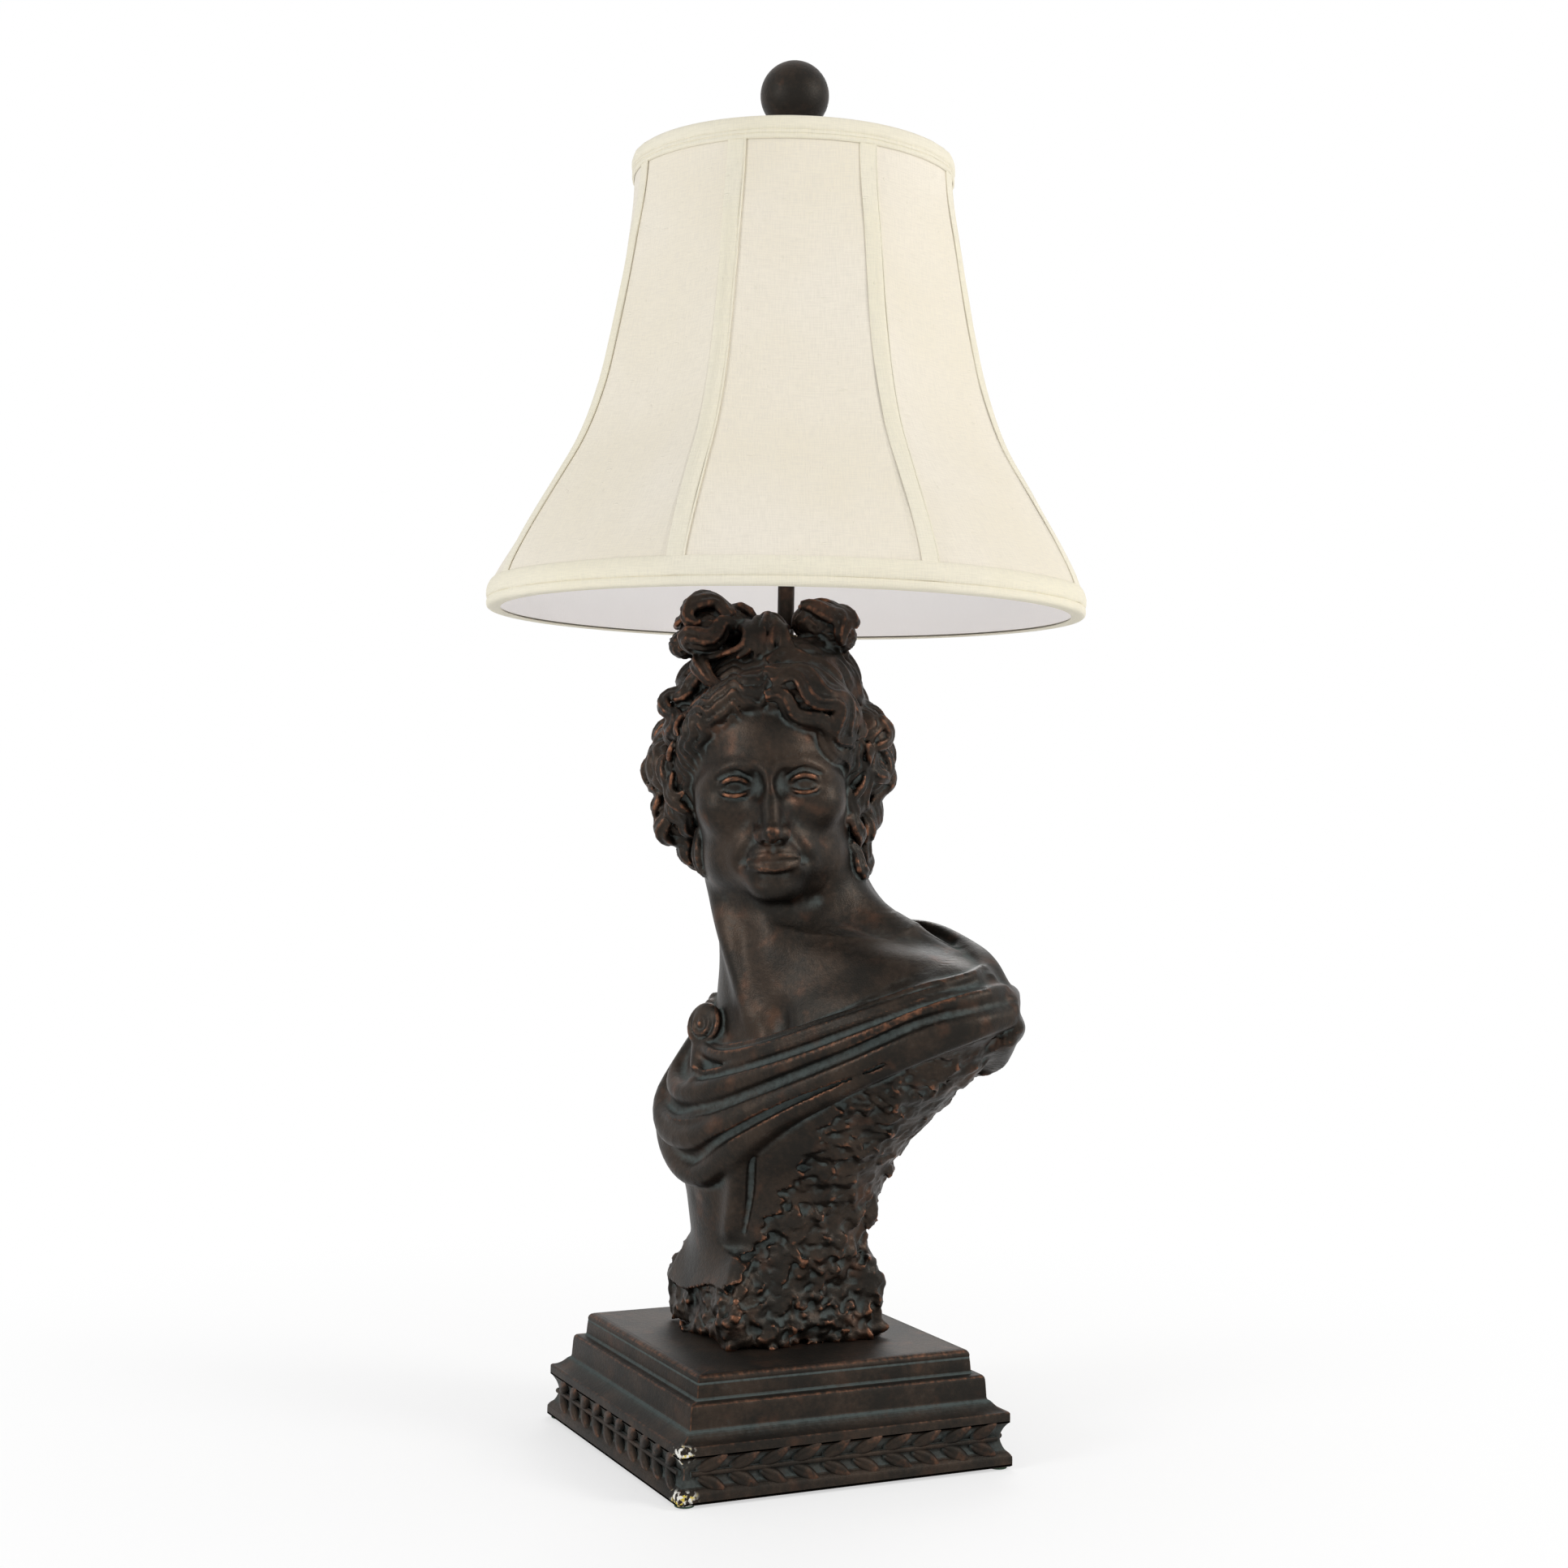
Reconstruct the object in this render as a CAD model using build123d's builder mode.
from build123d import *
from math import atan, cos, pi, radians, sin, sqrt, tan
import os

# Figural table lamp: a cast bust on a stepped square plinth, with a stem, socket, harp,
# bell shade of eight panels and ball finial.
# Frame: +Z up, origin on the floor under the stem, -Y the plinth's front face. Millimetres.

os.makedirs("parts", exist_ok=True)

# ---------------------------------------------------------------- driving dimensions
# fits
seat_gap = 0.1        # between faces that rest on each other
run_gap = 0.05        # radial, on what turns or slides
bolt_gap = 0.3        # radial, round a screw or a pipe
cloth_gap = 0.3       # between cloth and what it covers

# feet and base board
foot_thickness = 1.5
foot_diameter = 11.0
board_width = 184.0
board_thickness = 4.0
screw_diameter = 3.5
screw_head_diameter = 7.0
screw_head_height = 2.2
screw_length = 18.0
screw_inset = 6.5     # of the screw's axis from the board's edge

# plinth, as heights above its underside and insets from its widest face
plinth_width = 210.0
plinth_height = 64.9
shoe_height = 5.8
shoe_round = 2.7
band_top = 25.0
band_inset = 5.5
fascia_inset = 1.2
fascia_top = 31.0
slope_top = 36.5
middle_inset = 11.3
middle_top = 51.0
middle_batter = 0.8
upper_inset = 18.1
upper_top = 60.5
upper_batter = 0.7
table_inset = 22.9
cavity_width = 150.0
cavity_draft = 4.0
web_thickness = 13.0

# laurel band
leaf_length = 17.0
leaf_width = 6.6
leaf_pitch = 19.0
leaf_angle = 24.0
leaf_relief = 3.4
leaf_taper = 25.0
leaves_per_side = 10
laurel_stem = 1.8

# stem hardware
pipe_diameter = 10.0
pipe_bore = 7.0
pipe_washer_diameter = 40.0
pipe_washer_thickness = 2.5
lock_washer_diameter = 18.0
lock_washer_thickness = 1.6
nut_flats = 14.0
nut_height = 4.0
pipe_tail = 9.0       # of the pipe below its lower nut
bushing_bore = 7.0
bushing_diameter = 11.0
bushing_flange_diameter = 16.0
bushing_flange_thickness = 2.0
bushing_height = 18.0  # of its axis above the plinth's underside
bushing_grip = 5.0     # of the flange's seat behind the plinth's widest face

# bust
bust_turn = 25.5      # degrees that the head looks to the left of the plinth's front
torso_turn = 33.0     # degrees that the shoulder line is turned in the bust's own frame
neck_turn = 17.0      # degrees that the neck is turned in the bust's own frame
stump_width = 112.0
stump_depth = 107.0
stump_x = 4.0
stump_y = 6.5
stump_roughness = 2.4
stump_sides = 14
brooch_diameter = 26.0
brooch_thickness = 16.0
crown_seat = 412.0    # height of the crown nut's seat above the bust's base
crown_washer_diameter = 20.0
crown_washer_thickness = 1.6

# socket, stacked upwards from the harp saddle
saddle_height = 466.1  # of the saddle above the plinth's top
saddle_width = 10.0
saddle_eye = 20.0
strap_thickness = 1.6
harp_spread = 57.0
saddle_arm = 9.0
post_height = 7.0
cap_neck_diameter = 15.0
cap_neck_height = 6.0
cap_height = 20.0
cap_wall = 0.8
shell_diameter = 33.0
shell_wall = 0.6
shell_height = 44.0
shell_lap = 6.0        # of the shell inside the cap
insulator_wall = 0.6
insulator_height = 40.0
body_diameter = 28.0
body_height = 17.0
screw_shell_bore = 26.4
screw_shell_wall = 0.5
screw_shell_height = 23.0
contact_diameter = 8.0
contact_height = 2.0
terminal_diameter = 4.0
terminal_length = 6.0
terminal_head_diameter = 6.0
terminal_head = 1.0
switch_height = 9.0     # of the switch shaft above the socket body's underside
switch_shaft_diameter = 3.2
switch_shaft_reach = 31.0
switch_depth = 7.0      # of the shaft's inner end from the stem's axis
knob_length = 16.0
knob_width = 11.0
knob_thickness = 5.0
knob_grip = 8.0

# bulb
bulb_cap_diameter = 26.2
bulb_cap_height = 22.0
bulb_tip_height = 4.0
bulb_tip_diameter = 9.0
bulb_diameter = 60.0
bulb_height = 84.0
bulb_wall = 1.0

# harp
harp_wire = 4.0
harp_height = 226.0     # of the hub's top above the saddle's underside
harp_bulge = 112.0
harp_leg = 24.0         # straight run of each leg above the saddle's posts
hub_diameter = 16.0
hub_height = 6.0
ferrule_length = 14.0
ferrule_diameter = 7.6
stud_journal = 6.4
stud_thread = 6.2
collar_diameter = 14.0
collar_height = 2.5
rivet_diameter = 10.0
rivet_height = 1.5
stud_reach = 16.0

# shade
shade_height = 273.9
shade_top_diameter = 191.2
shade_bottom_diameter = 356.0
fitter_drop = 8.8
cover_thickness = 0.8
lining_thickness = 0.6
ring_wire = 3.2
rib_wire = 2.4
spider_wire = 3.0
spider_washer_diameter = 26.0
spider_washer_thickness = 1.5
spider_arms = 4
trim_thickness = 1.2
top_trim_height = 13.0
bottom_trim_height = 16.0
trim_return = 7.0
tape_width = 10.0
tape_thickness = 0.8
panels = 8
# share of the height, share of the flare from top to bottom, panel middle as a share of the rib
bell = [
    (0.000, 1.000, 1.000),
    (0.055, 0.998, 0.990),
    (0.136, 0.879, 0.967),
    (0.246, 0.672, 0.950),
    (0.352, 0.472, 0.938),
    (0.462, 0.333, 0.934),
    (0.569, 0.248, 0.934),
    (0.679, 0.172, 0.940),
    (0.785, 0.104, 0.958),
    (0.895, 0.035, 0.980),
    (1.000, 0.000, 1.000),
]

# finial
ball_diameter = 41.6
ball_height = 48.6      # of the ball's centre above the finial's seat
finial_neck_diameter = 11.0
finial_foot_diameter = 18.0
finial_foot_height = 4.0
finial_shank_diameter = 8.0
finial_shank_reach = 14.0
finial_bore_depth = 18.0

# ---------------------------------------------------------------- derived places
plinth_bottom = foot_thickness
plinth_top = plinth_bottom + plinth_height
plinth_half = plinth_width / 2
board_seat = plinth_bottom + board_thickness + seat_gap
web_bottom = plinth_top - web_thickness
bore_diameter = pipe_diameter + 2 * bolt_gap
crown_z = plinth_top + crown_seat
saddle_z = plinth_top + saddle_height
cap_z = saddle_z + strap_thickness + seat_gap
pipe_top = cap_z + cap_neck_height + 2.0
shell_z = cap_z + cap_height - shell_lap
body_z = cap_z + cap_height - shell_lap + 2.0
screw_shell_z = body_z + body_height + seat_gap
bulb_z = screw_shell_z + screw_shell_wall + contact_height + seat_gap
post_z = saddle_z + saddle_arm
joint_z = post_z + post_height
harp_top = saddle_z + harp_height
stud_seat = harp_top + seat_gap
washer_z = stud_seat + collar_height + seat_gap
finial_z = washer_z + spider_washer_thickness + seat_gap
ball_z = finial_z + ball_height
shade_top = washer_z + fitter_drop
shade_bottom = shade_top - shade_height


def ring_profile(points):
    """Close a half profile of (radius, height) points in the active BuildLine."""
    Polyline(*points, close=True)


# ================================================================ feet and base board
with BuildPart() as foot_pads:
    with BuildSketch(Plane.XY):
        with GridLocations(
            (plinth_width + board_width) / 2, (plinth_width + board_width) / 2, 2, 2
        ):
            Circle(foot_diameter / 2)
    extrude(amount=foot_thickness)
foot_pads.part.label = "foot_pads"
export_step(foot_pads.part, "parts/foot_pads.step")

screw_span = board_width - 2 * screw_inset
with BuildPart() as base_board:
    with BuildSketch(Plane.XY.offset(plinth_bottom)):
        Rectangle(board_width - 2 * bolt_gap, board_width - 2 * bolt_gap)
    extrude(amount=board_thickness)
    fillet(base_board.edges().filter_by(Axis.Z), radius=2.0)
    with BuildSketch(Plane.XY.offset(plinth_bottom)):
        with GridLocations(screw_span, screw_span, 2, 2):
            Circle(screw_diameter / 2 + bolt_gap)
    extrude(amount=board_thickness, mode=Mode.SUBTRACT)
    with BuildSketch(Plane.XY.offset(plinth_bottom)):
        with GridLocations(screw_span, screw_span, 2, 2):
            Circle(screw_head_diameter / 2 + bolt_gap)
    extrude(amount=screw_head_height, mode=Mode.SUBTRACT)
base_board.part.label = "base_board"
export_step(base_board.part, "parts/base_board.step")

with BuildPart() as base_board_screws:
    with BuildSketch(Plane.XY.offset(plinth_bottom + seat_gap)):
        with GridLocations(screw_span, screw_span, 2, 2):
            Circle(screw_head_diameter / 2)
    extrude(amount=screw_head_height - 2 * seat_gap)
    with BuildSketch(Plane.XY.offset(plinth_bottom + seat_gap)):
        with GridLocations(screw_span, screw_span, 2, 2):
            Circle(screw_diameter / 2)
    extrude(amount=screw_length)
    with BuildSketch(Plane.XY.offset(plinth_bottom + seat_gap)):
        with GridLocations(screw_span, screw_span, 2, 2):
            Rectangle(screw_head_diameter * 0.7, 0.9)
            Rectangle(0.9, screw_head_diameter * 0.7)
    extrude(amount=screw_head_height / 2, mode=Mode.SUBTRACT)
base_board_screws.part.label = "base_board_screws"
export_step(base_board_screws.part, "parts/base_board_screws.step")


# ================================================================ plinth
def plinth_outline():
    """Draw the plinth's moulded section, both halves, in the active BuildLine."""
    right = [
        (0, 0),
        (plinth_half, 0),
        (plinth_half, shoe_height),
    ]
    for side in (1, -1):
        at = lambda inset, height: (side * (plinth_half - inset), plinth_bottom + height)
        Line((0, plinth_bottom), at(0, 0))
        Line(at(0, 0), at(0, shoe_height))
        ThreePointArc(
            at(0, shoe_height),
            at(shoe_round * 0.3, shoe_height + shoe_round * 0.7),
            at(shoe_round, shoe_height + shoe_round),
        )
        ThreePointArc(
            at(shoe_round, shoe_height + shoe_round),
            at(band_inset, (shoe_height + shoe_round + band_top) / 2 - 1),
            at(fascia_inset, band_top),
        )
        Line(at(fascia_inset, band_top), at(fascia_inset, fascia_top - 1))
        Line(at(fascia_inset, fascia_top - 1), at(fascia_inset + 1, fascia_top))
        slope_foot = at(fascia_inset + 1, fascia_top)
        slope_head = at(middle_inset - 1.5, slope_top)
        ThreePointArc(
            slope_foot,
            (
                (slope_foot[0] + slope_head[0]) / 2 + side * 0.9,
                (slope_foot[1] + slope_head[1]) / 2 + 1.1,
            ),
            slope_head,
        )
        Line(slope_head, at(middle_inset, slope_top + 1.2))
        Line(at(middle_inset, slope_top + 1.2), at(middle_inset + middle_batter, middle_top - 2))
        ThreePointArc(
            at(middle_inset + middle_batter, middle_top - 2),
            at(middle_inset + middle_batter + 0.6, middle_top - 0.6),
            at(middle_inset + middle_batter + 2, middle_top),
        )
        Line(
            at(middle_inset + middle_batter + 2, middle_top),
            at(upper_inset, middle_top + 1.2),
        )
        Line(at(upper_inset, middle_top + 1.2), at(upper_inset + upper_batter, upper_top))
        bead_foot = at(upper_inset + upper_batter, upper_top)
        bead_head = at(table_inset, plinth_height)
        ThreePointArc(
            bead_foot,
            (
                (bead_foot[0] + bead_head[0]) / 2 + side * 0.8,
                (bead_foot[1] + bead_head[1]) / 2 + 0.8,
            ),
            bead_head,
        )
        Line(bead_head, (0, plinth_top))


with BuildSketch(Plane.XY) as leaf:
    with BuildLine():
        ThreePointArc((0, 0), (leaf_length * 0.45, leaf_width / 2), (leaf_length, 0))
        ThreePointArc((leaf_length, 0), (leaf_length * 0.45, -leaf_width / 2), (0, 0))
    make_face()

band_middle = plinth_bottom + (shoe_height + shoe_round + band_top) / 2
band_face = plinth_half - band_inset - 0.6
with BuildPart() as plinth:
    with BuildSketch(Plane.XZ):
        with BuildLine():
            plinth_outline()
        make_face()
    extrude(amount=plinth_width, both=True)
    with BuildSketch(Plane.YZ):
        with BuildLine():
            plinth_outline()
        make_face()
    extrude(amount=plinth_width, both=True, mode=Mode.INTERSECT)
    # laurel band: paired leaves on a stem, pointing to the right on every side
    for quarter in range(4):
        face = Plane.XZ.rotated((0, 0, 90 * quarter)).offset(band_face)
        with BuildSketch(face):
            with Locations((0, band_middle)):
                Rectangle(leaf_pitch * leaves_per_side, laurel_stem)
        extrude(amount=leaf_relief)
        with BuildSketch(face):
            for number in range(leaves_per_side):
                along = (number - leaves_per_side / 2) * leaf_pitch + 1.5
                with Locations((along, band_middle + laurel_stem / 2 + 0.4)):
                    add(leaf.sketch, rotation=leaf_angle)
                with Locations((along, band_middle - laurel_stem / 2 - 0.4)):
                    add(leaf.sketch, rotation=-leaf_angle)
        extrude(amount=leaf_relief + 1.2, taper=leaf_taper)
    # underside: rebate for the board, drafted cavity, bores
    with BuildSketch(Plane.XY.offset(plinth_bottom)):
        Rectangle(board_width, board_width)
    extrude(amount=board_seat - plinth_bottom, mode=Mode.SUBTRACT)
    with BuildSketch(Plane.XY.offset(board_seat)):
        Rectangle(cavity_width, cavity_width)
    extrude(amount=web_bottom - board_seat, taper=cavity_draft, mode=Mode.SUBTRACT)
    with BuildSketch(Plane.XY.offset(web_bottom)):
        Circle(bore_diameter / 2)
    extrude(amount=web_thickness, mode=Mode.SUBTRACT)
    with BuildSketch(Plane.XY.offset(board_seat)):
        with GridLocations(screw_span, screw_span, 2, 2):
            Circle(screw_diameter / 2 + run_gap)
    extrude(amount=screw_length - board_thickness + 2, mode=Mode.SUBTRACT)
    # cord outlet through the back wall, with a flat seat for the bushing's flange
    back = Plane(
        origin=(0, plinth_half + 1, plinth_bottom + bushing_height), x_dir=(-1, 0, 0), z_dir=(0, 1, 0)
    )
    with BuildSketch(back):
        Circle(bushing_flange_diameter / 2 + bolt_gap)
    extrude(amount=-(bushing_grip + 1), mode=Mode.SUBTRACT)
    with BuildSketch(back):
        Circle(bushing_diameter / 2 + run_gap)
    extrude(amount=-(plinth_half - cavity_width / 2 + 12), mode=Mode.SUBTRACT)
plinth.part.label = "plinth"
export_step(plinth.part, "parts/plinth.step")

with BuildPart() as cord_bushing:
    with BuildSketch(
        Plane(
            origin=(0, plinth_half - bushing_grip + seat_gap, plinth_bottom + bushing_height),
            x_dir=(-1, 0, 0),
            z_dir=(0, 1, 0),
        )
    ) as bushing_seat:
        Circle(bushing_flange_diameter / 2)
    extrude(amount=bushing_flange_thickness)
    with BuildSketch(
        Plane(
            origin=(0, plinth_half - bushing_grip + seat_gap, plinth_bottom + bushing_height),
            x_dir=(-1, 0, 0),
            z_dir=(0, 1, 0),
        )
    ):
        Circle(bushing_diameter / 2)
    extrude(amount=-(plinth_half - bushing_grip - cavity_width / 2))
    with BuildSketch(
        Plane(
            origin=(0, plinth_half, plinth_bottom + bushing_height),
            x_dir=(-1, 0, 0),
            z_dir=(0, 1, 0),
        )
    ):
        Circle(bushing_bore / 2)
    extrude(amount=-plinth_half, mode=Mode.SUBTRACT)
cord_bushing.part.label = "cord_bushing"
export_step(cord_bushing.part, "parts/cord_bushing.step")

# ================================================================ stem hardware
washer_top = web_bottom - seat_gap
with BuildPart() as pipe_washer:
    with BuildSketch(Plane.XY.offset(washer_top - pipe_washer_thickness)):
        Circle(pipe_washer_diameter / 2)
        Circle(bore_diameter / 2, mode=Mode.SUBTRACT)
    extrude(amount=pipe_washer_thickness)
pipe_washer.part.label = "pipe_washer"
export_step(pipe_washer.part, "parts/pipe_washer.step")

lock_top = washer_top - pipe_washer_thickness - seat_gap
with BuildPart() as lock_washer:
    with BuildSketch(Plane.XY.offset(lock_top - lock_washer_thickness)):
        Circle(lock_washer_diameter / 2)
        Circle(bore_diameter / 2, mode=Mode.SUBTRACT)
        with Locations((lock_washer_diameter / 2, 0)):
            Rectangle(lock_washer_diameter, 1.5, mode=Mode.SUBTRACT)
    extrude(amount=lock_washer_thickness)
lock_washer.part.label = "lock_washer"
export_step(lock_washer.part, "parts/lock_washer.step")

nut_top = lock_top - lock_washer_thickness - seat_gap
with BuildPart() as pipe_nut:
    with BuildSketch(Plane.XY.offset(nut_top - nut_height)):
        RegularPolygon(nut_flats / 2, 6, major_radius=False)
        Circle(pipe_diameter / 2 + run_gap, mode=Mode.SUBTRACT)
    extrude(amount=nut_height)
pipe_nut.part.label = "pipe_nut"
export_step(pipe_nut.part, "parts/pipe_nut.step")

pipe_bottom = nut_top - nut_height - pipe_tail
with BuildPart() as lamp_pipe:
    with BuildSketch(Plane.XY.offset(pipe_bottom)):
        Circle(pipe_diameter / 2)
        Circle(pipe_bore / 2, mode=Mode.SUBTRACT)
    extrude(amount=pipe_top - pipe_bottom)
lamp_pipe.part.label = "lamp_pipe"
export_step(lamp_pipe.part, "parts/lamp_pipe.step")

with BuildPart() as crown_washer:
    with BuildSketch(Plane.XY.offset(crown_z + seat_gap)):
        Circle(crown_washer_diameter / 2)
        Circle(bore_diameter / 2, mode=Mode.SUBTRACT)
    extrude(amount=crown_washer_thickness)
crown_washer.part.label = "crown_washer"
export_step(crown_washer.part, "parts/crown_washer.step")

with BuildPart() as crown_nut:
    with BuildSketch(Plane.XY.offset(crown_z + crown_washer_thickness + 2 * seat_gap)):
        RegularPolygon(nut_flats / 2, 6, major_radius=False)
        Circle(pipe_diameter / 2 + run_gap, mode=Mode.SUBTRACT)
    extrude(amount=nut_height)
crown_nut.part.label = "crown_nut"
export_step(crown_nut.part, "parts/crown_nut.step")

# ================================================================ bust
# Its own frame stands on the plinth's top: x to the viewer's right, y away from the face.
# Sections are (height, x, y, half width, half depth), heights above the bust's base.
bust_frame = Plane(
    origin=(0, 0, plinth_top),
    x_dir=(cos(radians(bust_turn)), -sin(radians(bust_turn)), 0),
    z_dir=(0, 0, 1),
)


def bust_point(x, y, height):
    """Turn a point of the bust's own frame into the lamp's frame."""
    return bust_frame.from_local_coords(Vector(x, y, height))


def bust_level(height, x=0.0, y=0.0, turn=0.0):
    """Horizontal plane at a height of the bust, centred on a point and turned clockwise."""
    return Plane(
        origin=bust_point(x, y, height),
        x_dir=(cos(radians(bust_turn + turn)), -sin(radians(bust_turn + turn)), 0),
        z_dir=(0, 0, 1),
    )


def hewn_corner(number, level):
    """Corner of the rough stump: a point on a rounded square with a chiselled unevenness."""
    angle = 2 * pi * (number + 0.5) / stump_sides
    square = 1.0 / max(abs(cos(angle)), abs(sin(angle)))
    rough = stump_roughness * sin(5.1 * number + 2.3 * level)
    reach = min(square, 1.32)
    return (
        (stump_width / 2 - stump_roughness + rough) * reach * cos(angle),
        (stump_depth / 2 - stump_roughness + rough) * reach * sin(angle),
    )


stump_levels = [(0.0, 1.0), (14.0, 1.0), (28.0, 0.97), (40.0, 0.90), (56.0, 0.76)]
torso_sections = [
    (35.0, 3.0, 6.0, 50.0, 48.0),
    (60.0, 3.5, 5.5, 57.0, 49.0),
    (81.0, 4.5, 5.0, 62.0, 50.0),
    (104.0, 6.5, 3.0, 72.0, 53.0),
    (125.0, 10.5, 0.0, 84.0, 56.0),
    (144.0, 21.0, -6.0, 91.0, 57.5),
    (160.0, 33.0, -12.0, 94.0, 58.0),
    (175.0, 41.0, -17.0, 98.0, 58.5),
    (190.0, 45.5, -20.0, 101.0, 58.0),
    (205.0, 45.0, -18.5, 99.0, 54.5),
    (220.0, 40.0, -14.0, 90.0, 48.0),
    (230.0, 31.0, -9.5, 77.0, 44.0),
    (238.0, 19.5, -4.0, 58.0, 40.0),
]
neck_sections = [
    (180.0, 12.0, 0.0, 46.0, 43.0),
    (235.0, 4.5, -1.5, 41.0, 42.0),
    (270.0, 3.0, -1.0, 42.5, 44.0),
    (310.0, 1.0, 4.0, 43.0, 47.0),
]
head_sections = [
    (257.0, -4.0, -42.0, 19.0, 19.0),
    (270.0, -4.0, -27.0, 33.0, 43.0),
    (292.0, -4.0, -17.0, 42.0, 58.0),
    (320.0, -4.0, -12.0, 48.0, 65.0),
    (350.0, -4.0, -10.0, 50.0, 67.0),
    (380.0, -4.0, -8.0, 49.0, 65.0),
    (402.0, -4.0, -6.0, 40.0, 54.0),
    (419.0, -4.0, -5.0, 18.0, 26.0),
]
hair_sections = [
    (283.0, -4.0, 34.0, 40.0, 26.0),
    (315.0, -6.0, 22.0, 58.0, 54.0),
    (350.0, -8.0, 10.0, 64.0, 66.0),
    (380.0, -8.0, 2.0, 62.0, 69.0),
    (404.0, -8.0, -4.0, 54.0, 61.0),
    (421.0, -8.0, -5.0, 36.0, 42.0),
]
# curls and tufts of the hair: (height, x, y, radius)
curls = [
    (337.0, -70.0, 0.0, 26.0),
    (300.0, -60.0, 6.0, 22.0),
    (276.0, -50.0, 16.0, 15.0),
    (366.0, -58.0, -26.0, 22.0),
    (384.0, -40.0, -52.0, 19.0),
    (396.0, -20.0, -62.0, 17.0),
    (396.0, 8.0, -62.0, 17.0),
    (384.0, 28.0, -50.0, 18.0),
    (362.0, 44.0, -26.0, 20.0),
    (338.0, 46.0, 2.0, 22.0),
    (310.0, 42.0, 10.0, 18.0),
    (420.0, -52.0, -20.0, 26.0),
    (424.0, 20.0, -20.0, 23.0),
    (418.0, -16.0, -24.0, 17.0),
    (340.0, -30.0, 62.0, 24.0),
    (340.0, 22.0, 60.0, 24.0),
    (300.0, -8.0, 56.0, 22.0),
]
# rolls of the cloak, laid on the torso: radius, then (angle round the torso, height) points.
# Angle 0 is the end of the near shoulder, 180 the far shoulder, 270 the front of the chest.
cloak_folds = [
    (13.0, [(190, 178.0), (215, 125.0), (254, 97.0), (290, 125.0), (320, 165.0), (352, 196.0)]),
    (13.0, [(190, 184.0), (222, 140.0), (258, 122.0), (292, 146.0), (322, 180.0), (354, 205.0)]),
    (12.0, [(192, 189.0), (228, 158.0), (262, 146.0), (296, 166.0), (326, 193.0), (356, 212.0)]),
    (11.0, [(196, 193.0), (234, 175.0), (266, 168.0), (300, 184.0), (330, 203.0), (358, 216.0)]),
    (12.0, [(2, 214.0), (40, 222.0), (80, 224.0), (120, 216.0), (165, 200.0)]),
]
fold_sink = 3.0       # of each roll's centre below the torso's surface
nose_sections = [
    (348.0, 5.0, 72.0, 78.0),
    (312.0, 8.5, 68.0, 93.0),
    (304.0, 9.0, 66.0, 84.0),
]
brooch_angle = 184
brooch_height = 188.0


def torso_point(angle, height, lift):
    """Point at an angle round the torso and a height, lifted off its surface."""
    for low, high in zip(torso_sections, torso_sections[1:]):
        if low[0] <= height <= high[0]:
            step = (height - low[0]) / (high[0] - low[0])
            x, y, wide, deep = (low[i] + step * (high[i] - low[i]) for i in range(1, 5))
    along = (wide + lift) * cos(radians(angle))
    across = (deep + lift) * sin(radians(angle))
    turn = radians(torso_turn)
    return bust_point(
        x + along * cos(turn) + across * sin(turn),
        y - along * sin(turn) + across * cos(turn),
        height,
    )

with BuildPart() as bust:
    for level, (height, share) in enumerate(stump_levels):
        with BuildSketch(Plane.XY.offset(plinth_top + seat_gap + height)):
            with Locations((stump_x, stump_y)):
                Polygon(
                    *[
                        tuple(share * value for value in hewn_corner(number, level))
                        for number in range(stump_sides)
                    ],
                    align=None,
                )
    loft(ruled=True)
    for height, x, y, wide, deep in torso_sections:
        with BuildSketch(bust_level(height, x, y, torso_turn)):
            Ellipse(wide, deep)
    loft(ruled=True)
    for height, x, y, wide, deep in neck_sections:
        with BuildSketch(bust_level(height, x, y, neck_turn)):
            Ellipse(wide, deep)
    loft()
    for height, x, y, wide, deep in head_sections:
        with BuildSketch(bust_level(height, x, y)):
            Ellipse(wide, deep)
    loft()
    for height, x, y, wide, deep in hair_sections:
        with BuildSketch(bust_level(height, x, y)):
            Ellipse(wide, deep)
    loft()
    for height, half, back_y, front_y in nose_sections:
        with BuildSketch(bust_level(height, -4.0, 0.0)):
            Polygon((-half, -back_y), (0, -front_y), (half, -back_y), align=None)
    loft(ruled=True)
    for height, x, y, radius in curls:
        with Locations(bust_level(height, x, y)):
            Sphere(radius)
    for radius, way in cloak_folds:
        with BuildLine() as fold:
            Spline(*[torso_point(angle, height, -fold_sink) for angle, height in way])
        with BuildSketch(Plane(origin=fold.line @ 0, z_dir=fold.line % 0)):
            Circle(radius)
        sweep()
    brooch_seat = torso_point(brooch_angle, brooch_height, 0.0)
    brooch_face = torso_point(brooch_angle, brooch_height, 10.0)
    with BuildSketch(
        Plane(origin=brooch_seat, x_dir=(0, 0, 1), z_dir=brooch_face - brooch_seat)
    ):
        Circle(brooch_diameter / 2)
    extrude(amount=brooch_thickness / 2, both=True)
    # bore for the stem, and the crown's recess for its washer and nut
    with BuildSketch(Plane.XY.offset(plinth_top)):
        Circle(bore_diameter / 2)
    extrude(amount=saddle_height, mode=Mode.SUBTRACT)
    with BuildSketch(Plane.XY.offset(crown_z)):
        Circle(crown_washer_diameter / 2 + bolt_gap)
    extrude(amount=saddle_height - crown_seat, mode=Mode.SUBTRACT)
bust.part.label = "bust"
export_step(bust.part, "parts/bust.step")
print("bust solids", len(bust.solids()), "volume", round(bust.part.volume / 1000))

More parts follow.
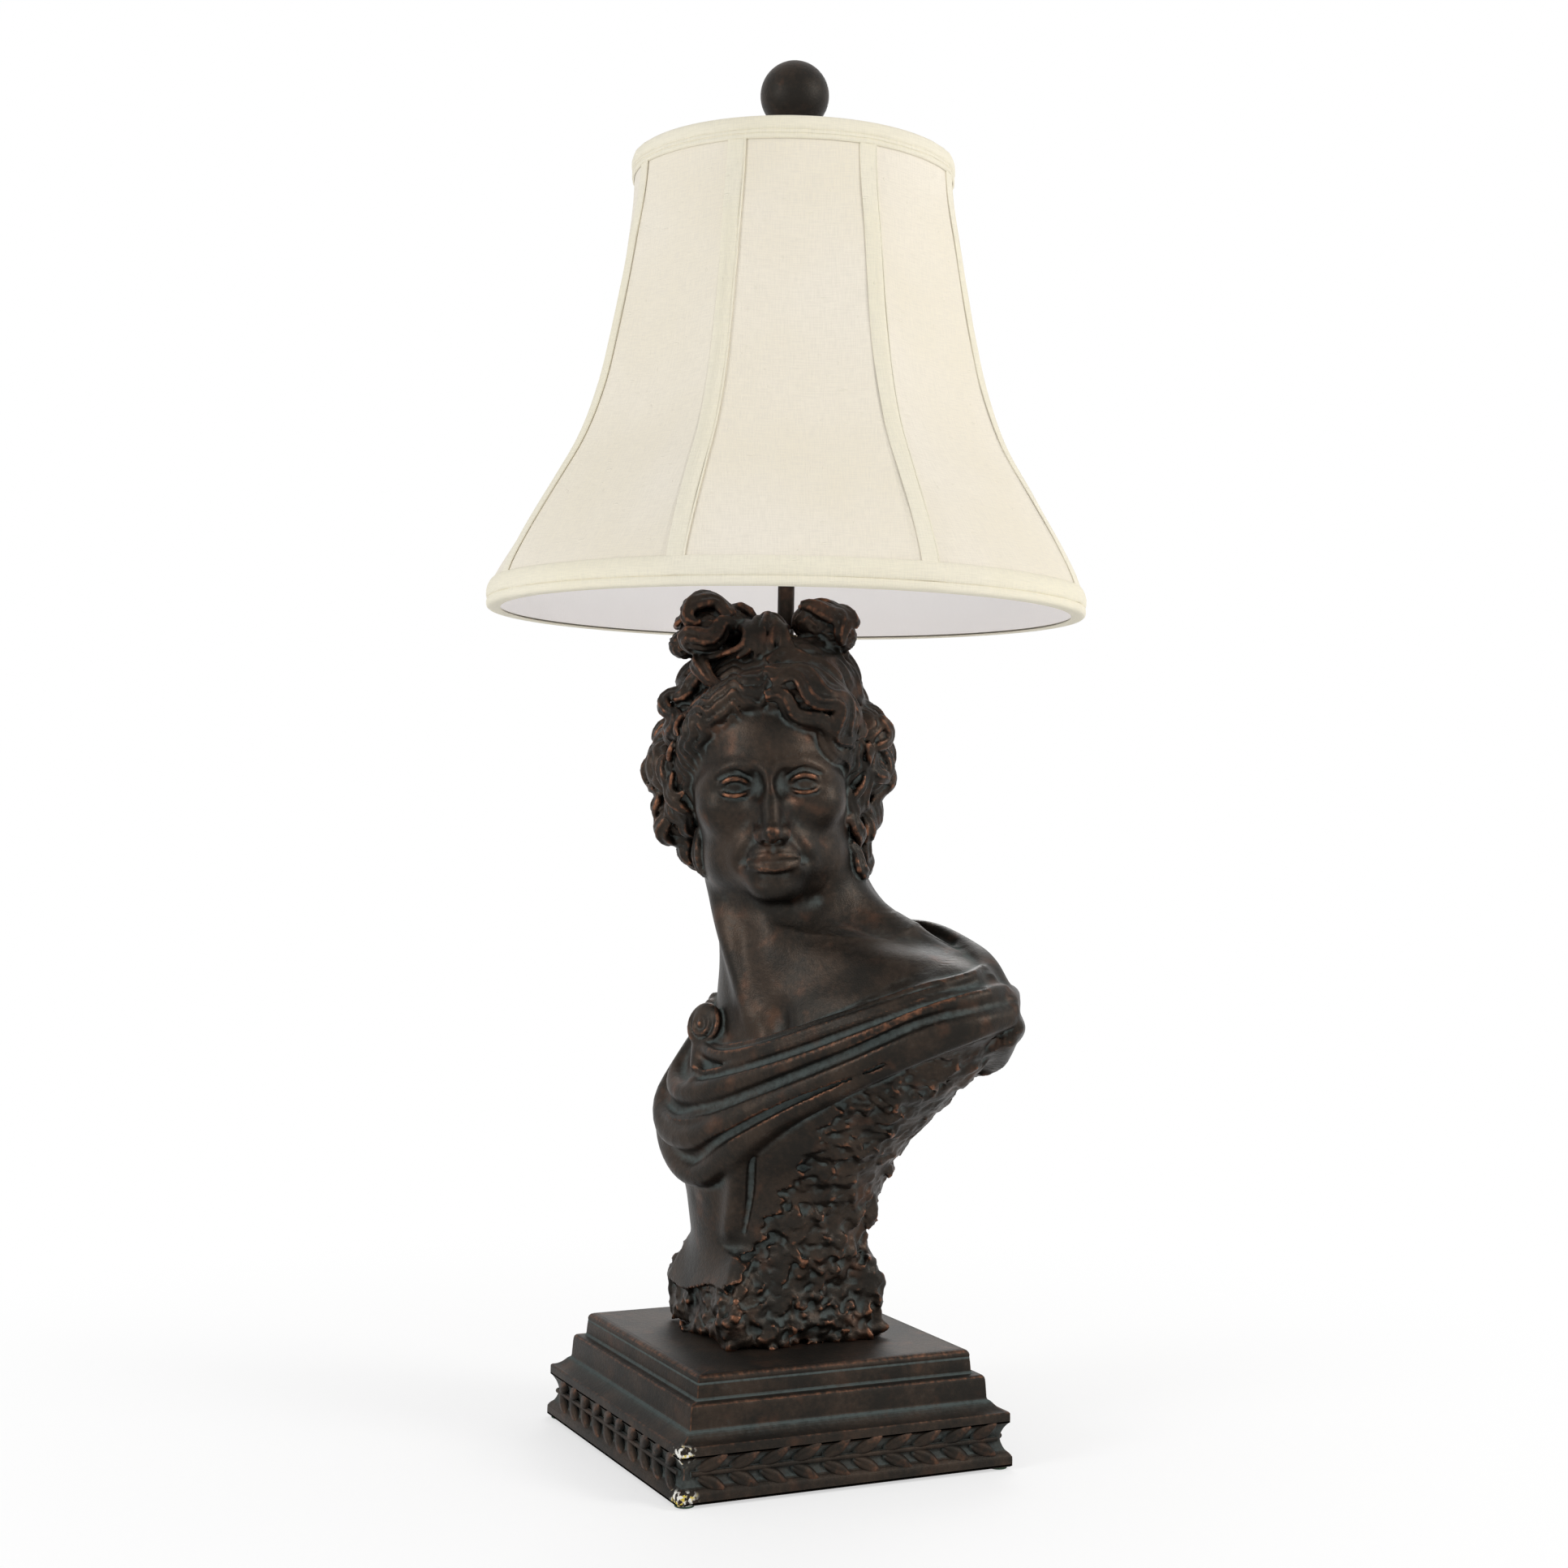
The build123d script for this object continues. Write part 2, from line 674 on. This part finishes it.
# ================================================================ harp saddle and its locknut
with BuildPart() as saddle_locknut:
    with BuildSketch(Plane.XY.offset(saddle_z - seat_gap - nut_height)):
        RegularPolygon(nut_flats / 2, 6, major_radius=False)
        Circle(pipe_diameter / 2 + run_gap, mode=Mode.SUBTRACT)
    extrude(amount=nut_height)
saddle_locknut.part.label = "saddle_locknut"
export_step(saddle_locknut.part, "parts/saddle_locknut.step")

with BuildPart() as harp_saddle:
    with BuildSketch(Plane.XY.offset(saddle_z)):
        Rectangle(harp_spread + strap_thickness, saddle_width)
        Circle(saddle_eye / 2)
        Circle(bore_diameter / 2, mode=Mode.SUBTRACT)
    extrude(amount=strap_thickness)
    with BuildSketch(Plane.XY.offset(saddle_z)):
        with Locations((-harp_spread / 2, 0), (harp_spread / 2, 0)):
            Rectangle(strap_thickness, saddle_width)
    extrude(amount=saddle_arm)
    with BuildSketch(Plane.XY.offset(post_z - 2.0)):
        with Locations((-harp_spread / 2, 0), (harp_spread / 2, 0)):
            Circle(harp_wire / 2)
    extrude(amount=post_height + 2.0)
harp_saddle.part.label = "harp_saddle"
export_step(harp_saddle.part, "parts/harp_saddle.step")

# ================================================================ socket
cap_rim = shell_diameter / 2 + bolt_gap
with BuildPart() as socket_cap:
    with BuildSketch(Plane.XZ):
        with BuildLine():
            ring_profile(
                [
                    (pipe_diameter / 2 + run_gap, cap_z),
                    (cap_neck_diameter / 2, cap_z),
                    (cap_neck_diameter / 2, cap_z + cap_neck_height),
                    (cap_rim + cap_wall - 2.0, cap_z + cap_height - shell_lap - 2.0),
                    (cap_rim + cap_wall, cap_z + cap_height - shell_lap),
                    (cap_rim + cap_wall, cap_z + cap_height),
                    (cap_rim, cap_z + cap_height),
                    (cap_rim, cap_z + cap_height - shell_lap - seat_gap),
                    (cap_rim - 2.0, cap_z + cap_height - shell_lap - 1.8),
                    (cap_neck_diameter / 2 - cap_wall, cap_z + cap_neck_height + 2 * cap_wall),
                    (pipe_diameter / 2 + run_gap, cap_z + cap_neck_height + 2 * cap_wall),
                ]
            )
        make_face()
    revolve(axis=Axis.Z)
socket_cap.part.label = "socket_cap"
export_step(socket_cap.part, "parts/socket_cap.step")

switch_z = body_z + switch_height
with BuildPart() as socket_shell:
    with BuildSketch(Plane.XY.offset(shell_z + seat_gap)):
        Circle(shell_diameter / 2)
        Circle(shell_diameter / 2 - shell_wall, mode=Mode.SUBTRACT)
    extrude(amount=shell_height)
    with BuildSketch(Plane(origin=(0, 0, switch_z), x_dir=(1, 0, 0), z_dir=(0, -1, 0))):
        Circle(switch_shaft_diameter / 2 + bolt_gap)
    extrude(amount=shell_diameter, mode=Mode.SUBTRACT)
socket_shell.part.label = "socket_shell"
export_step(socket_shell.part, "parts/socket_shell.step")

liner_radius = shell_diameter / 2 - shell_wall - bolt_gap
with BuildPart() as socket_insulator:
    with BuildSketch(Plane.XY.offset(shell_z + seat_gap + shell_height - insulator_height)):
        Circle(liner_radius)
        Circle(liner_radius - insulator_wall, mode=Mode.SUBTRACT)
    extrude(amount=insulator_height)
    with BuildSketch(Plane(origin=(0, 0, switch_z), x_dir=(1, 0, 0), z_dir=(0, -1, 0))):
        Circle(switch_shaft_diameter / 2 + bolt_gap)
    extrude(amount=shell_diameter, mode=Mode.SUBTRACT)
socket_insulator.part.label = "socket_insulator"
export_step(socket_insulator.part, "parts/socket_insulator.step")

terminal_z = body_z + body_height / 2
with BuildPart() as socket_body:
    with BuildSketch(Plane.XY.offset(body_z)):
        Circle(body_diameter / 2)
        Circle(contact_diameter / 4 + run_gap, mode=Mode.SUBTRACT)
    extrude(amount=body_height)
    with BuildSketch(Plane(origin=(0, 0, switch_z), x_dir=(1, 0, 0), z_dir=(0, -1, 0))):
        Circle(switch_shaft_diameter / 2 + run_gap)
    extrude(amount=body_diameter, mode=Mode.SUBTRACT)
    for side in (-1, 1):
        flat = Plane(
            origin=(side * (body_diameter / 2 - terminal_head - 1.0), 0, terminal_z),
            x_dir=(0, side, 0),
            z_dir=(side, 0, 0),
        )
        with BuildSketch(flat):
            Rectangle(12.0, body_height + 2.0)
        extrude(amount=body_diameter, mode=Mode.SUBTRACT)
        with BuildSketch(flat):
            Circle(terminal_diameter / 2 + run_gap)
        extrude(amount=-(terminal_length + 0.5), mode=Mode.SUBTRACT)
socket_body.part.label = "socket_body"
export_step(socket_body.part, "parts/socket_body.step")

with BuildPart() as terminal_screws:
    for side in (-1, 1):
        head = Plane(
            origin=(side * (body_diameter / 2 - terminal_head - 1.0 + seat_gap), 0, terminal_z),
            x_dir=(0, side, 0),
            z_dir=(side, 0, 0),
        )
        with BuildSketch(head):
            Circle(terminal_head_diameter / 2)
        extrude(amount=terminal_head)
        with BuildSketch(head):
            Circle(terminal_diameter / 2)
        extrude(amount=-terminal_length)
terminal_screws.part.label = "terminal_screws"
export_step(terminal_screws.part, "parts/terminal_screws.step")

with BuildPart() as screw_shell:
    with BuildSketch(Plane.XY.offset(screw_shell_z)):
        Circle(screw_shell_bore / 2 + screw_shell_wall)
    extrude(amount=screw_shell_height)
    with BuildSketch(Plane.XY.offset(screw_shell_z + screw_shell_wall)):
        Circle(screw_shell_bore / 2)
    extrude(amount=screw_shell_height, mode=Mode.SUBTRACT)
    with BuildSketch(Plane.XY.offset(screw_shell_z)):
        Circle(contact_diameter / 2 + 2.0)
    extrude(amount=screw_shell_wall, mode=Mode.SUBTRACT)
screw_shell.part.label = "screw_shell"
export_step(screw_shell.part, "parts/screw_shell.step")

with BuildPart() as center_contact:
    with BuildSketch(Plane.XY.offset(body_z + body_height + seat_gap)):
        Circle(contact_diameter / 2)
    extrude(amount=screw_shell_wall + contact_height)
    with BuildSketch(Plane.XY.offset(body_z + body_height + seat_gap)):
        Circle(contact_diameter / 4)
    extrude(amount=-(body_height - switch_height - switch_shaft_diameter))
center_contact.part.label = "center_contact"
export_step(center_contact.part, "parts/center_contact.step")

# ---------------------------------------------------------------- turn-knob switch
with BuildPart() as switch_shaft:
    with BuildSketch(Plane(origin=(0, -switch_depth, switch_z), x_dir=(1, 0, 0), z_dir=(0, -1, 0))):
        Circle(switch_shaft_diameter / 2)
    extrude(amount=switch_shaft_reach - switch_depth)
switch_shaft.part.label = "switch_shaft"
export_step(switch_shaft.part, "parts/switch_shaft.step")

knob_plane = Plane(
    origin=(0, -(switch_shaft_reach - knob_grip), switch_z), x_dir=(1, 0, 0), z_dir=(0, -1, 0)
)
with BuildPart() as switch_knob:
    with BuildSketch(knob_plane):
        SlotOverall(knob_width, knob_thickness)
    with BuildSketch(knob_plane.offset(knob_length)):
        SlotOverall(knob_width - 2.0, knob_thickness - 1.0)
    loft()
    with BuildSketch(knob_plane):
        Circle(switch_shaft_diameter / 2 + run_gap)
    extrude(amount=knob_grip + seat_gap, mode=Mode.SUBTRACT)
switch_knob.part.label = "switch_knob"
export_step(switch_knob.part, "parts/switch_knob.step")

# ================================================================ bulb
glass_z = bulb_z + bulb_tip_height + bulb_cap_height
bulb_centre = bulb_z + bulb_tip_height + bulb_cap_height + bulb_height - bulb_diameter / 2


def envelope(inset):
    """Draw the bulb's half outline, moved in by a wall, in the active BuildLine."""
    neck = bulb_cap_diameter / 2 - 1.0 - inset
    ball = bulb_diameter / 2 - inset
    join = radians(-28)
    meet = (ball * cos(join), bulb_centre + ball * sin(join))
    Line((0, glass_z + seat_gap), (neck, glass_z + seat_gap))
    Line((neck, glass_z + seat_gap), (neck, glass_z + 6.0))
    Line((neck, glass_z + 6.0), meet)
    ThreePointArc(meet, (ball * cos(0.6), bulb_centre + ball * sin(0.6)), (0, bulb_centre + ball))
    Line((0, bulb_centre + ball), (0, glass_z + seat_gap))


with BuildPart() as bulb_glass:
    with BuildSketch(Plane.XZ):
        with BuildLine():
            envelope(0.0)
        make_face()
        with BuildLine():
            envelope(bulb_wall)
        make_face(mode=Mode.SUBTRACT)
    revolve(axis=Axis.Z)
bulb_glass.part.label = "bulb_glass"
export_step(bulb_glass.part, "parts/bulb_glass.step")

with BuildPart() as bulb_cap:
    with BuildSketch(Plane.XY.offset(bulb_z + bulb_tip_height)):
        Circle(bulb_cap_diameter / 2)
    extrude(amount=bulb_cap_height)
    chamfer(bulb_cap.faces().sort_by(Axis.Z)[0].edges(), length=3.0)
bulb_cap.part.label = "bulb_cap"
export_step(bulb_cap.part, "parts/bulb_cap.step")

with BuildPart() as bulb_contact:
    with BuildSketch(Plane.XY.offset(bulb_z)):
        Circle(bulb_tip_diameter / 2)
    with BuildSketch(Plane.XY.offset(bulb_z + bulb_tip_height - seat_gap)):
        Circle(bulb_cap_diameter / 2 - 3.0)
    loft()
bulb_contact.part.label = "bulb_contact"
export_step(bulb_contact.part, "parts/bulb_contact.step")

# ================================================================ harp
leg_top = joint_z + seat_gap + harp_leg
bulge_half = harp_bulge / 2
harp_side = [
    (harp_spread / 2, joint_z + seat_gap),
    (harp_spread / 2, leg_top),
    (bulge_half, leg_top + 46.0),
    (bulge_half, harp_top - 74.0),
    (bulge_half - 26.0, harp_top - hub_height / 2),
]
harp_path = [(-x, z) for x, z in harp_side] + [(x, z) for x, z in reversed(harp_side)]
with BuildPart() as harp:
    with BuildLine(Plane.XZ) as harp_wire_line:
        FilletPolyline(*harp_path, radius=[18.0, 52.0, 52.0, 24.0, 24.0, 52.0, 52.0, 18.0])
    with BuildSketch(Plane(origin=harp_wire_line.line @ 0, z_dir=harp_wire_line.line % 0)):
        Circle(harp_wire / 2)
    sweep()
    with BuildSketch(Plane.XY.offset(harp_top)):
        Circle(hub_diameter / 2)
    extrude(amount=-hub_height)
    with BuildSketch(Plane.XY.offset(harp_top)):
        Circle(stud_journal / 2 + run_gap)
    extrude(amount=-hub_height, mode=Mode.SUBTRACT)
harp.part.label = "harp"
export_step(harp.part, "parts/harp.step")

with BuildPart() as harp_ferrule_left:
    with BuildSketch(Plane.XY.offset(post_z + seat_gap)):
        with Locations((-harp_spread / 2, 0)):
            Circle(ferrule_diameter / 2)
            Circle(harp_wire / 2 + run_gap, mode=Mode.SUBTRACT)
    extrude(amount=ferrule_length)
harp_ferrule_left.part.label = "harp_ferrule_left"
export_step(harp_ferrule_left.part, "parts/harp_ferrule_left.step")

with BuildPart() as harp_ferrule_right:
    with BuildSketch(Plane.XY.offset(post_z + seat_gap)):
        with Locations((harp_spread / 2, 0)):
            Circle(ferrule_diameter / 2)
            Circle(harp_wire / 2 + run_gap, mode=Mode.SUBTRACT)
    extrude(amount=ferrule_length)
harp_ferrule_right.part.label = "harp_ferrule_right"
export_step(harp_ferrule_right.part, "parts/harp_ferrule_right.step")

with BuildPart() as harp_stud:
    with BuildSketch(Plane.XY.offset(harp_top - hub_height - seat_gap - rivet_height)):
        Circle(rivet_diameter / 2)
    extrude(amount=rivet_height)
    with BuildSketch(Plane.XY.offset(harp_top - hub_height - seat_gap)):
        Circle(stud_journal / 2)
    extrude(amount=hub_height + 2 * seat_gap)
    with BuildSketch(Plane.XY.offset(stud_seat)):
        Circle(collar_diameter / 2)
    extrude(amount=collar_height)
    with BuildSketch(Plane.XY.offset(stud_seat)):
        Circle(stud_thread / 2)
    extrude(amount=collar_height + stud_reach)
    chamfer(harp_stud.faces().sort_by(Axis.Z)[-1].edges(), length=0.8)
harp_stud.part.label = "harp_stud"
export_step(harp_stud.part, "parts/harp_stud.step")

# ================================================================ shade
half_panel = pi / panels


def bell_radius(share):
    """Outer radius of the cover at a rib, for a share of the flare."""
    return (shade_top_diameter + share * (shade_bottom_diameter - shade_top_diameter)) / 2


def bell_at(height):
    """Rib radius and panel share at a height above the shade's lower edge."""
    part = height / shade_height
    for low, high in zip(bell, bell[1:]):
        if part <= high[0] or high is bell[-1]:
            step = (part - low[0]) / (high[0] - low[0])
            flare = low[1] + step * (high[1] - low[1])
            middle = low[2] + step * (high[2] - low[2])
            return bell_radius(flare), middle


def bell_outline(rib_radius, middle_share, inset):
    """Draw the shade's section as eight shallow arcs in the active BuildLine."""
    rib = rib_radius - inset
    middle = rib_radius * middle_share - inset
    for number in range(panels):
        start = 2 * number * half_panel
        ThreePointArc(
            (rib * cos(start), rib * sin(start)),
            (middle * cos(start + half_panel), middle * sin(start + half_panel)),
            (rib * cos(start + 2 * half_panel), rib * sin(start + 2 * half_panel)),
        )


trim_gap = trim_thickness + cloth_gap
cover_bottom = shade_bottom + trim_gap
cover_top = shade_top - trim_gap
cover_levels = [cover_bottom - shade_bottom]
cover_levels += [share * shade_height for share, flare, middle in bell[1:-1]]
cover_levels += [cover_top - shade_bottom]
lining_inset = cover_thickness + 2 * cloth_gap + ring_wire + 0.7

with BuildPart() as shade_cover:
    for height in cover_levels:
        with BuildSketch(Plane.XY.offset(shade_bottom + height)):
            with BuildLine():
                bell_outline(*bell_at(height), 0.0)
            make_face()
    loft()
    for height in cover_levels:
        with BuildSketch(Plane.XY.offset(shade_bottom + height)):
            with BuildLine():
                bell_outline(*bell_at(height), cover_thickness)
            make_face()
    loft(mode=Mode.SUBTRACT)
shade_cover.part.label = "shade_cover"
export_step(shade_cover.part, "parts/shade_cover.step")

with BuildPart() as shade_lining:
    for height in cover_levels:
        with BuildSketch(Plane.XY.offset(shade_bottom + height)):
            with BuildLine():
                bell_outline(*bell_at(height), lining_inset)
            make_face()
    loft()
    for height in cover_levels:
        with BuildSketch(Plane.XY.offset(shade_bottom + height)):
            with BuildLine():
                bell_outline(*bell_at(height), lining_inset + lining_thickness)
            make_face()
    loft(mode=Mode.SUBTRACT)
    # the spider's arms pass through slits at the lining's top edge
    for number in range(spider_arms):
        arm = 2 * pi * number / spider_arms + half_panel
        with BuildSketch(Plane(origin=(0, 0, cover_top), x_dir=(cos(arm), sin(arm), 0))):
            with Locations((shade_top_diameter / 4 + lining_inset, 0)):
                Rectangle(shade_top_diameter / 2, spider_wire + 2 * bolt_gap)
        extrude(amount=-(ring_wire + spider_wire + 2.0), mode=Mode.SUBTRACT)
shade_lining.part.label = "shade_lining"
export_step(shade_lining.part, "parts/shade_lining.step")

# rings, ribs and spider
ring_inset = cover_thickness + cloth_gap + ring_wire / 2 + 0.2
bottom_ring_z = cover_bottom + ring_wire / 2
top_ring_z = cover_top - ring_wire / 2
bottom_ring_radius = shade_bottom_diameter / 2 - ring_inset
top_ring_radius = shade_top_diameter / 2 - ring_inset
with BuildPart() as shade_bottom_ring:
    with BuildSketch(Plane.XZ):
        with Locations((bottom_ring_radius, bottom_ring_z)):
            Circle(ring_wire / 2)
    revolve(axis=Axis.Z)
shade_bottom_ring.part.label = "shade_bottom_ring"
export_step(shade_bottom_ring.part, "parts/shade_bottom_ring.step")

with BuildPart() as shade_top_ring:
    with BuildSketch(Plane.XZ):
        with Locations((top_ring_radius, top_ring_z)):
            Circle(ring_wire / 2)
    revolve(axis=Axis.Z)
shade_top_ring.part.label = "shade_top_ring"
export_step(shade_top_ring.part, "parts/shade_top_ring.step")

rib_inset = cover_thickness + 2 * cloth_gap + rib_wire / 2
rib_points = [(bottom_ring_radius, bottom_ring_z)]
rib_points += [
    (bell_at(height)[0] - rib_inset, shade_bottom + height) for height in cover_levels[1:-1]
]
rib_points += [(top_ring_radius, top_ring_z)]
with BuildPart() as shade_ribs:
    for number in range(panels):
        turn = 360.0 * number / panels
        rib_plane = Plane.XZ.rotated((0, 0, turn))
        with BuildLine(rib_plane) as rib_line:
            Spline(*rib_points)
        with BuildSketch(Plane(origin=rib_line.line @ 0, z_dir=rib_line.line % 0)):
            Circle(rib_wire / 2)
        sweep()
    with BuildSketch(Plane.XZ):
        with Locations((bottom_ring_radius, bottom_ring_z), (top_ring_radius, top_ring_z)):
            Circle(ring_wire / 2)
    revolve(axis=Axis.Z, mode=Mode.SUBTRACT)
shade_ribs.part.label = "shade_ribs"
export_step(shade_ribs.part, "parts/shade_ribs.step")

arm_start = (spider_washer_diameter / 2 - 2.0, washer_z + spider_washer_thickness / 2)
arm_run = top_ring_radius - arm_start[0]
arm_rise = top_ring_z - ring_wire / 2 - arm_start[1]
with BuildPart() as spider:
    with BuildSketch(Plane.XY.offset(washer_z)):
        Circle(spider_washer_diameter / 2)
    extrude(amount=spider_washer_thickness)
    for number in range(spider_arms):
        arm = 2 * pi * number / spider_arms + half_panel
        with BuildSketch(
            Plane(
                origin=(arm_start[0] * cos(arm), arm_start[0] * sin(arm), arm_start[1]),
                z_dir=(arm_run * cos(arm), arm_run * sin(arm), arm_rise),
            )
        ):
            Circle(spider_wire / 2)
        extrude(amount=sqrt(arm_run**2 + arm_rise**2))
    with BuildSketch(Plane.XY.offset(washer_z - spider_wire)):
        Circle(spider_washer_diameter / 2 - 3.5)
    extrude(amount=spider_wire, mode=Mode.SUBTRACT)
    with BuildSketch(Plane.XY.offset(washer_z + spider_washer_thickness)):
        Circle(spider_washer_diameter / 2 - 3.5)
    extrude(amount=spider_wire, mode=Mode.SUBTRACT)
    with BuildSketch(Plane.XY.offset(washer_z)):
        Circle(stud_thread / 2 + 0.5)
    extrude(amount=spider_washer_thickness, mode=Mode.SUBTRACT)
    with BuildSketch(Plane.XZ):
        with Locations((top_ring_radius, top_ring_z)):
            Circle(ring_wire / 2)
    revolve(axis=Axis.Z, mode=Mode.SUBTRACT)
spider.part.label = "spider"
export_step(spider.part, "parts/spider.step")

# trims: bands outside the cover that return under the rims
trim_levels = [0.0] + cover_levels[1:-1] + [shade_height]
with BuildPart() as bottom_trim:
    for height in trim_levels:
        with BuildSketch(Plane.XY.offset(shade_bottom + height)):
            with BuildLine():
                bell_outline(*bell_at(height), -trim_gap)
            make_face()
    loft()
    for height in trim_levels:
        with BuildSketch(Plane.XY.offset(shade_bottom + height)):
            with BuildLine():
                bell_outline(*bell_at(height), -cloth_gap)
            make_face()
    loft(mode=Mode.SUBTRACT)
    with BuildSketch(Plane.XY.offset(shade_bottom)):
        Circle(shade_bottom_diameter)
    extrude(amount=bottom_trim_height, mode=Mode.INTERSECT)
    with BuildSketch(Plane.XY.offset(shade_bottom)):
        with BuildLine():
            bell_outline(*bell_at(0.0), -cloth_gap - 0.4)
        make_face()
        with BuildLine():
            bell_outline(*bell_at(0.0), trim_return)
        make_face(mode=Mode.SUBTRACT)
    extrude(amount=trim_thickness)
bottom_trim.part.label = "bottom_trim"
export_step(bottom_trim.part, "parts/bottom_trim.step")

with BuildPart() as top_trim:
    for height in trim_levels:
        with BuildSketch(Plane.XY.offset(shade_bottom + height)):
            with BuildLine():
                bell_outline(*bell_at(height), -trim_gap)
            make_face()
    loft()
    for height in trim_levels:
        with BuildSketch(Plane.XY.offset(shade_bottom + height)):
            with BuildLine():
                bell_outline(*bell_at(height), -cloth_gap)
            make_face()
    loft(mode=Mode.SUBTRACT)
    with BuildSketch(Plane.XY.offset(shade_top)):
        Circle(shade_bottom_diameter)
    extrude(amount=-top_trim_height, mode=Mode.INTERSECT)
    with BuildSketch(Plane.XY.offset(shade_top)):
        with BuildLine():
            bell_outline(*bell_at(shade_height), -cloth_gap - 0.4)
        make_face()
        with BuildLine():
            bell_outline(*bell_at(shade_height), trim_return)
        make_face(mode=Mode.SUBTRACT)
    extrude(amount=-trim_thickness)
top_trim.part.label = "top_trim"
export_step(top_trim.part, "parts/top_trim.step")


# rib tapes: shallow chevrons that fold over the ribs, between the two trims
def fall_beside_rib(rib, middle_share):
    """How far the cover falls back from the rib's tangent at the tape's edge."""
    chord = 2 * rib * sin(half_panel)
    sagitta = rib * middle_share - rib * cos(half_panel)
    slope = half_panel - 2 * atan(2 * sagitta / chord)
    return tape_width / 2 * tan(slope) + (tape_width / 2) ** 2 / (2 * rib)


with BuildPart() as rib_trims:
    for number in range(panels):
        turn = 360.0 * number / panels
        for height in trim_levels:
            rib, middle_share = bell_at(height)
            fall = fall_beside_rib(rib, middle_share)
            inner = rib + 2 * cloth_gap
            outer = inner + tape_thickness
            side = tape_width / 2
            with BuildSketch(Plane.XY.offset(shade_bottom + height).rotated((0, 0, turn))):
                Polygon(
                    (inner, 0),
                    (inner - fall, -side),
                    (outer - fall, -side),
                    (outer, 0),
                    (outer - fall, side),
                    (inner - fall, side),
                    align=None,
                )
        loft()
    with BuildSketch(Plane.XY.offset(shade_bottom + bottom_trim_height + cloth_gap)):
        Circle(shade_bottom_diameter)
    extrude(
        amount=shade_height - bottom_trim_height - top_trim_height - 2 * cloth_gap,
        mode=Mode.INTERSECT,
    )
rib_trims.part.label = "rib_trims"
export_step(rib_trims.part, "parts/rib_trims.step")

# ================================================================ finial
bore_top = finial_z + finial_bore_depth
neck_top = ball_z - ball_diameter / 2
with BuildPart() as finial_base:
    with BuildSketch(Plane.XZ):
        with BuildLine():
            ring_profile(
                [
                    (stud_thread / 2 + run_gap, finial_z),
                    (finial_foot_diameter / 2, finial_z),
                    (finial_foot_diameter / 2, finial_z + finial_foot_height * 0.6),
                    (finial_neck_diameter / 2 + 1.0, finial_z + finial_foot_height),
                    (finial_neck_diameter / 2, finial_z + finial_foot_height + 3.0),
                    (finial_neck_diameter / 2, neck_top - 3.0),
                    (finial_neck_diameter / 2 + 2.0, neck_top - seat_gap),
                    (finial_shank_diameter / 2, neck_top - seat_gap),
                    (finial_shank_diameter / 2, neck_top + finial_shank_reach),
                    (0.0, neck_top + finial_shank_reach),
                    (0.0, bore_top),
                    (stud_thread / 2 + run_gap, bore_top),
                ]
            )
        make_face()
    revolve(axis=Axis.Z)
finial_base.part.label = "finial_base"
export_step(finial_base.part, "parts/finial_base.step")

with BuildPart() as finial_ball:
    with BuildSketch(Plane.XZ):
        with BuildLine():
            ThreePointArc(
                (0, ball_z - ball_diameter / 2), (ball_diameter / 2, ball_z), (0, ball_z + ball_diameter / 2)
            )
            Line((0, ball_z + ball_diameter / 2), (0, ball_z - ball_diameter / 2))
        make_face()
        with Locations((0, neck_top)):
            Rectangle(
                finial_shank_diameter + 2 * run_gap,
                2 * (finial_shank_reach + seat_gap),
                mode=Mode.SUBTRACT,
            )
        with Locations((0, neck_top)):
            Rectangle(finial_neck_diameter + 5.0, 0.6, mode=Mode.SUBTRACT)
        split(bisect_by=Plane.YZ, keep=Keep.TOP)
    revolve(axis=Axis.Z)
finial_ball.part.label = "finial_ball"
export_step(finial_ball.part, "parts/finial_ball.step")
